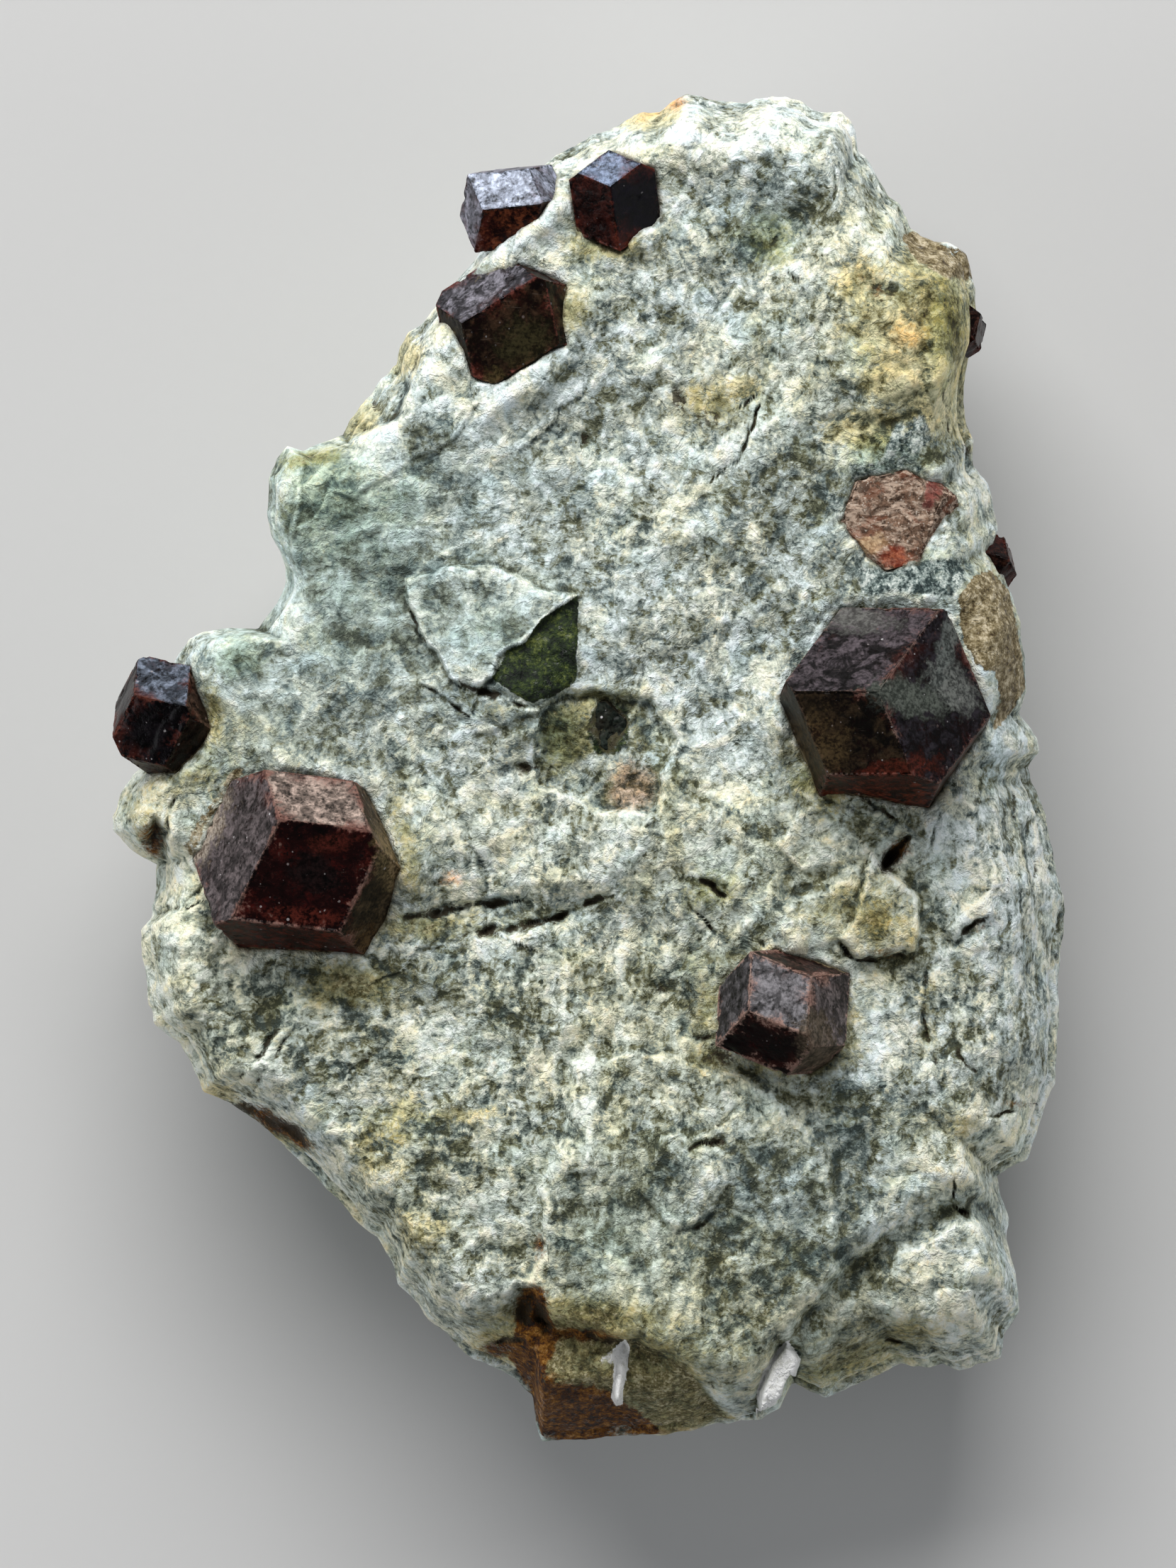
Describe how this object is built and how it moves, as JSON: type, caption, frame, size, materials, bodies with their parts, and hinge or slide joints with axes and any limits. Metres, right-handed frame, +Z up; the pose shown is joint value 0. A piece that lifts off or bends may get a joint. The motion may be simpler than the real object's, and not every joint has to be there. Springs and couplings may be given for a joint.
{
  "type": "garnet in matrix specimen",
  "caption": "Broken slab of pale grey-green mica schist with dark red garnet dodecahedra standing out of its upper face.",
  "frame": {"origin": "middle of the bounding box in plan, at the height of the surface that the specimen lies on", "axes": "+Z up out of the crystal face, +Y along the rock towards its narrow end, +X to the right seen from above"},
  "size_m": [0.0706, 0.0999, 0.0317],
  "materials": {
    "schist": "broken foliated rock, pale grey-green, grainy and matt with glints of mica",
    "garnet": "nearly opaque dark red crystal faces, glossy where clean, dusty at the edges",
    "dark_garnet": "dark green-black broken crystal, satin",
    "weathered_garnet": "weathered reddish-brown broken crystal, dull and streaky"
  },
  "bodies": {
    "root": {"matrix": "schist", "garnet_top_left": "garnet", "garnet_top": "garnet", "garnet_upper_left": "garnet", "garnet_left_edge": "garnet", "garnet_lower_left": "garnet", "garnet_right": "garnet", "garnet_lower_right": "garnet", "garnet_side_upper": "garnet", "garnet_side_lower": "garnet", "garnet_embedded_centre": "dark_garnet", "garnet_embedded_right": "weathered_garnet"}
  },
  "joints": []
}
